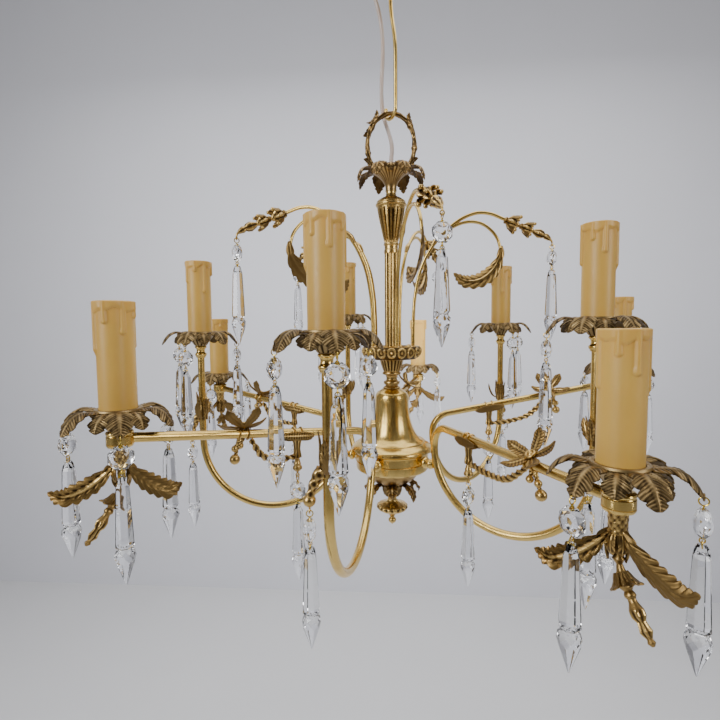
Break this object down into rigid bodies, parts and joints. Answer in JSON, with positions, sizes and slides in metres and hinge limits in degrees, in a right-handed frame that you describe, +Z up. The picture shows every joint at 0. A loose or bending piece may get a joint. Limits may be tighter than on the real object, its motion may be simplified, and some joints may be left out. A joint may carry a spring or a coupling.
{
  "type": "multi arm chandelier",
  "caption": "Brass chandelier of S-curved tube arms with candle lamps on leaf pans, wire sprays and swinging glass drops, hung by a ring from a ceiling hook plate.",
  "frame": {"origin": "centre of the ceiling plate's top face, which meets the ceiling", "axes": "+Z up into the ceiling; +X along the plane of the suspension ring; -Y faces the front"},
  "size_m": [0.6325, 0.6532, 0.6584],
  "materials": {
    "polished_brass": "polished",
    "antique_brass": "antiqued, rubbed",
    "crystal": "cut, polished",
    "candle_plastic": "satin",
    "holder_plastic": "gloss",
    "clear_flex": "gloss"
  },
  "bodies": {
    "ceiling_mount": {"ceiling_hook_plate": "polished_brass"},
    "chandelier": {"suspension_ring": "antique_brass", "fluted_urn": "antique_brass", "column_sleeve": "polished_brass", "threaded_tube": "polished_brass", "spray_dish": "antique_brass", "wire_sprays": "antique_brass", "bell_cover": "polished_brass", "hub_ring": "polished_brass", "hub_bowl": "antique_brass", "bottom_finial": "antique_brass", "arm_tubes": "polished_brass", "arm_garlands": "antique_brass", "leaf_pendants": "antique_brass", "drip_pans": "antique_brass", "candle_sleeves": "candle_plastic", "lamp_holders": "holder_plastic", "candle_ferrules": "polished_brass", "tube_bud_drops": "crystal", "supply_flex": "clear_flex"},
    "upper_pan_1_drop_1": {"upper_pan_1_drop_1": "crystal"},
    "upper_pan_1_drop_2": {"upper_pan_1_drop_2": "crystal"},
    "upper_pan_1_drop_3": {"upper_pan_1_drop_3": "crystal"},
    "upper_pan_2_drop_1": {"upper_pan_2_drop_1": "crystal"},
    "upper_pan_2_drop_2": {"upper_pan_2_drop_2": "crystal"},
    "upper_pan_2_drop_3": {"upper_pan_2_drop_3": "crystal"},
    "upper_pan_3_drop_1": {"upper_pan_3_drop_1": "crystal"},
    "upper_pan_3_drop_2": {"upper_pan_3_drop_2": "crystal"},
    "upper_pan_3_drop_3": {"upper_pan_3_drop_3": "crystal"},
    "upper_pan_4_drop_1": {"upper_pan_4_drop_1": "crystal"},
    "upper_pan_4_drop_2": {"upper_pan_4_drop_2": "crystal"},
    "upper_pan_4_drop_3": {"upper_pan_4_drop_3": "crystal"},
    "upper_pan_5_drop_1": {"upper_pan_5_drop_1": "crystal"},
    "upper_pan_5_drop_2": {"upper_pan_5_drop_2": "crystal"},
    "upper_pan_5_drop_3": {"upper_pan_5_drop_3": "crystal"},
    "lower_pan_1_drop_1": {"lower_pan_1_drop_1": "crystal"},
    "lower_pan_1_drop_2": {"lower_pan_1_drop_2": "crystal"},
    "lower_pan_1_drop_3": {"lower_pan_1_drop_3": "crystal"},
    "lower_pan_2_drop_1": {"lower_pan_2_drop_1": "crystal"},
    "lower_pan_2_drop_2": {"lower_pan_2_drop_2": "crystal"},
    "lower_pan_2_drop_3": {"lower_pan_2_drop_3": "crystal"},
    "lower_pan_3_drop_1": {"lower_pan_3_drop_1": "crystal"},
    "lower_pan_3_drop_2": {"lower_pan_3_drop_2": "crystal"},
    "lower_pan_3_drop_3": {"lower_pan_3_drop_3": "crystal"},
    "lower_pan_4_drop_1": {"lower_pan_4_drop_1": "crystal"},
    "lower_pan_4_drop_2": {"lower_pan_4_drop_2": "crystal"},
    "lower_pan_4_drop_3": {"lower_pan_4_drop_3": "crystal"},
    "lower_pan_5_drop_1": {"lower_pan_5_drop_1": "crystal"},
    "lower_pan_5_drop_2": {"lower_pan_5_drop_2": "crystal"},
    "lower_pan_5_drop_3": {"lower_pan_5_drop_3": "crystal"},
    "spray_drop_1": {"spray_drop_1": "crystal"},
    "spray_drop_2": {"spray_drop_2": "crystal"},
    "spray_drop_3": {"spray_drop_3": "crystal"},
    "spray_drop_4": {"spray_drop_4": "crystal"},
    "spray_drop_5": {"spray_drop_5": "crystal"},
    "garland_drop_1": {"garland_drop_1": "crystal"},
    "garland_drop_2": {"garland_drop_2": "crystal"},
    "garland_drop_3": {"garland_drop_3": "crystal"},
    "garland_drop_4": {"garland_drop_4": "crystal"},
    "garland_drop_5": {"garland_drop_5": "crystal"}
  },
  "joints": [
    {"name": "ring_on_hook", "type": "hinge", "parent": "ceiling_mount", "child": "chandelier", "pos_m": [0, 0, -0.163], "axis": [1, 0, 0], "range_deg": [-8, 8], "deforming": ["supply_flex"]},
    {"name": "upper_pan_1_drop_1_link", "type": "hinge", "parent": "chandelier", "child": "upper_pan_1_drop_1", "pos_m": [-0.03402, -0.25683, -0.42], "axis": [-0.9563, -0.2924, 0], "range_deg": [-10, 20]},
    {"name": "upper_pan_1_drop_2_link", "type": "hinge", "parent": "chandelier", "child": "upper_pan_1_drop_2", "pos_m": [-0.01785, -0.1868, -0.42], "axis": [0.7314, -0.682, 0], "range_deg": [-10, 20]},
    {"name": "upper_pan_1_drop_3_link", "type": "hinge", "parent": "chandelier", "child": "upper_pan_1_drop_3", "pos_m": [-0.08659, -0.20781, -0.42], "axis": [0.225, 0.9744, 0], "range_deg": [-10, 20]},
    {"name": "upper_pan_2_drop_1_link", "type": "hinge", "parent": "chandelier", "child": "upper_pan_2_drop_1", "pos_m": [0.19492, -0.1609, -0.411], "axis": [-0.9397, -0.342, 0], "range_deg": [-10, 20]},
    {"name": "upper_pan_2_drop_2_link", "type": "hinge", "parent": "chandelier", "child": "upper_pan_2_drop_2", "pos_m": [0.20741, -0.09011, -0.411], "axis": [0.766, -0.6428, 0], "range_deg": [-10, 20]},
    {"name": "upper_pan_2_drop_3_link", "type": "hinge", "parent": "chandelier", "child": "upper_pan_2_drop_3", "pos_m": [0.13986, -0.1147, -0.411], "axis": [0.1736, 0.9848, 0], "range_deg": [-10, 20]},
    {"name": "upper_pan_3_drop_1_link", "type": "hinge", "parent": "chandelier", "child": "upper_pan_3_drop_1", "pos_m": [0.1655, 0.10165, -0.414], "axis": [-0.9848, -0.1736, 0], "range_deg": [-10, 20]},
    {"name": "upper_pan_3_drop_2_link", "type": "hinge", "parent": "chandelier", "child": "upper_pan_3_drop_2", "pos_m": [0.19008, 0.1692, -0.414], "axis": [0.6428, -0.766, 0], "range_deg": [-10, 20]},
    {"name": "upper_pan_3_drop_3_link", "type": "hinge", "parent": "chandelier", "child": "upper_pan_3_drop_3", "pos_m": [0.11929, 0.15672, -0.414], "axis": [0.342, 0.9397, 0], "range_deg": [-10, 20]},
    {"name": "upper_pan_4_drop_1_link", "type": "hinge", "parent": "chandelier", "child": "upper_pan_4_drop_1", "pos_m": [-0.04344, 0.16085, -0.398], "axis": [-0.766, -0.6428, 0], "range_deg": [-10, 20]},
    {"name": "upper_pan_4_drop_2_link", "type": "hinge", "parent": "chandelier", "child": "upper_pan_4_drop_2", "pos_m": [-0.05592, 0.23163, -0.398], "axis": [0.9397, -0.342, 0], "range_deg": [-10, 20]},
    {"name": "upper_pan_4_drop_3_link", "type": "hinge", "parent": "chandelier", "child": "upper_pan_4_drop_3", "pos_m": [-0.11098, 0.18543, -0.398], "axis": [-0.1736, 0.9848, 0], "range_deg": [-10, 20]},
    {"name": "upper_pan_5_drop_1_link", "type": "hinge", "parent": "chandelier", "child": "upper_pan_5_drop_1", "pos_m": [-0.22345, -0.05713, -0.422], "axis": [-1, 0, 0], "range_deg": [-10, 20]},
    {"name": "upper_pan_5_drop_2_link", "type": "hinge", "parent": "chandelier", "child": "upper_pan_5_drop_2", "pos_m": [-0.18751, 0.00513, -0.422], "axis": [0.5, -0.866, 0], "range_deg": [-10, 20]},
    {"name": "upper_pan_5_drop_3_link", "type": "hinge", "parent": "chandelier", "child": "upper_pan_5_drop_3", "pos_m": [-0.25939, 0.00513, -0.422], "axis": [0.5, 0.866, 0], "range_deg": [-10, 20]},
    {"name": "lower_pan_1_drop_1_link", "type": "hinge", "parent": "chandelier", "child": "lower_pan_1_drop_1", "pos_m": [-0.24936, -0.20934, -0.478], "axis": [-0.0349, 0.9994, 0], "range_deg": [-10, 20]},
    {"name": "lower_pan_1_drop_2_link", "type": "hinge", "parent": "chandelier", "child": "lower_pan_1_drop_2", "pos_m": [-0.1859, -0.24308, -0.478], "axis": [-0.848, -0.5299, 0], "range_deg": [-10, 20]},
    {"name": "lower_pan_1_drop_3_link", "type": "hinge", "parent": "chandelier", "child": "lower_pan_1_drop_3", "pos_m": [-0.18841, -0.17125, -0.478], "axis": [0.8829, -0.4695, 0], "range_deg": [-10, 20]},
    {"name": "lower_pan_2_drop_1_link", "type": "hinge", "parent": "chandelier", "child": "lower_pan_2_drop_1", "pos_m": [0.17385, -0.27882, -0.501], "axis": [-0.4848, -0.8746, 0], "range_deg": [-10, 20]},
    {"name": "lower_pan_2_drop_2_link", "type": "hinge", "parent": "chandelier", "child": "lower_pan_2_drop_2", "pos_m": [0.13683, -0.21721, -0.501], "axis": [0.9998, 0.0175, 0], "range_deg": [-10, 20]},
    {"name": "lower_pan_2_drop_3_link", "type": "hinge", "parent": "chandelier", "child": "lower_pan_2_drop_3", "pos_m": [0.10198, -0.28008, -0.501], "axis": [-0.515, 0.8572, 0], "range_deg": [-10, 20]},
    {"name": "lower_pan_3_drop_1_link", "type": "hinge", "parent": "chandelier", "child": "lower_pan_3_drop_1", "pos_m": [0.32154, 0.0567, -0.465], "axis": [0.1736, -0.9848, 0], "range_deg": [-10, 20]},
    {"name": "lower_pan_3_drop_2_link", "type": "hinge", "parent": "chandelier", "child": "lower_pan_3_drop_2", "pos_m": [0.254, 0.08128, -0.465], "axis": [0.766, 0.6428, 0], "range_deg": [-10, 20]},
    {"name": "lower_pan_3_drop_3_link", "type": "hinge", "parent": "chandelier", "child": "lower_pan_3_drop_3", "pos_m": [0.26648, 0.01049, -0.465], "axis": [-0.9397, 0.342, 0], "range_deg": [-10, 20]},
    {"name": "lower_pan_4_drop_1_link", "type": "hinge", "parent": "chandelier", "child": "lower_pan_4_drop_1", "pos_m": [0.05436, 0.34322, -0.487], "axis": [0.9877, -0.1564, 0], "range_deg": [-10, 20]},
    {"name": "lower_pan_4_drop_2_link", "type": "hinge", "parent": "chandelier", "child": "lower_pan_4_drop_2", "pos_m": [0.00912, 0.28736, -0.487], "axis": [-0.3584, 0.9336, 0], "range_deg": [-10, 20]},
    {"name": "lower_pan_4_drop_3_link", "type": "hinge", "parent": "chandelier", "child": "lower_pan_4_drop_3", "pos_m": [0.08012, 0.27612, -0.487], "axis": [-0.6293, -0.7771, 0], "range_deg": [-10, 20]},
    {"name": "lower_pan_5_drop_1_link", "type": "hinge", "parent": "chandelier", "child": "lower_pan_5_drop_1", "pos_m": [-0.29711, 0.15798, -0.485], "axis": [0.4695, 0.8829, 0], "range_deg": [-10, 20]},
    {"name": "lower_pan_5_drop_2_link", "type": "hinge", "parent": "chandelier", "child": "lower_pan_5_drop_2", "pos_m": [-0.25902, 0.09702, -0.485], "axis": [-0.9994, -0.0349, 0], "range_deg": [-10, 20]},
    {"name": "lower_pan_5_drop_3_link", "type": "hinge", "parent": "chandelier", "child": "lower_pan_5_drop_3", "pos_m": [-0.22528, 0.16049, -0.485], "axis": [0.5299, -0.848, 0], "range_deg": [-10, 20]},
    {"name": "spray_drop_1_link", "type": "hinge", "parent": "chandelier", "child": "spray_drop_1", "pos_m": [0.03982, -0.17246, -0.316], "axis": [-0.9744, -0.225, 0], "range_deg": [-10, 20]},
    {"name": "spray_drop_2_link", "type": "hinge", "parent": "chandelier", "child": "spray_drop_2", "pos_m": [0.17633, -0.01543, -0.316], "axis": [-0.0872, -0.9962, 0], "range_deg": [-10, 20]},
    {"name": "spray_drop_3_link", "type": "hinge", "parent": "chandelier", "child": "spray_drop_3", "pos_m": [0.06916, 0.16293, -0.316], "axis": [0.9205, -0.3907, 0], "range_deg": [-10, 20]},
    {"name": "spray_drop_4_link", "type": "hinge", "parent": "chandelier", "child": "spray_drop_4", "pos_m": [-0.13358, 0.11612, -0.316], "axis": [0.6561, 0.7547, 0], "range_deg": [-10, 20]},
    {"name": "spray_drop_5_link", "type": "hinge", "parent": "chandelier", "child": "spray_drop_5", "pos_m": [-0.15172, -0.09116, -0.316], "axis": [-0.515, 0.8572, 0], "range_deg": [-10, 20]},
    {"name": "garland_drop_1_link", "type": "hinge", "parent": "chandelier", "child": "garland_drop_1", "pos_m": [-0.09078, -0.11247, -0.54609], "axis": [-0.9336, 0.3584, 0], "range_deg": [-10, 20]},
    {"name": "garland_drop_2_link", "type": "hinge", "parent": "chandelier", "child": "garland_drop_2", "pos_m": [0.07316, -0.10224, -0.55328], "axis": [-0.6293, -0.7771, 0], "range_deg": [-10, 20]},
    {"name": "garland_drop_3_link", "type": "hinge", "parent": "chandelier", "child": "garland_drop_3", "pos_m": [0.1211, 0.03784, -0.5448], "axis": [0.5446, -0.8387, 0], "range_deg": [-10, 20]},
    {"name": "garland_drop_4_link", "type": "hinge", "parent": "chandelier", "child": "garland_drop_4", "pos_m": [0.00525, 0.13803, -0.54957], "axis": [0.9659, 0.2588, 0], "range_deg": [-10, 20]},
    {"name": "garland_drop_5_link", "type": "hinge", "parent": "chandelier", "child": "garland_drop_5", "pos_m": [-0.12775, 0.04892, -0.5489], "axis": [0.0523, 0.9986, 0], "range_deg": [-10, 20]}
  ]
}
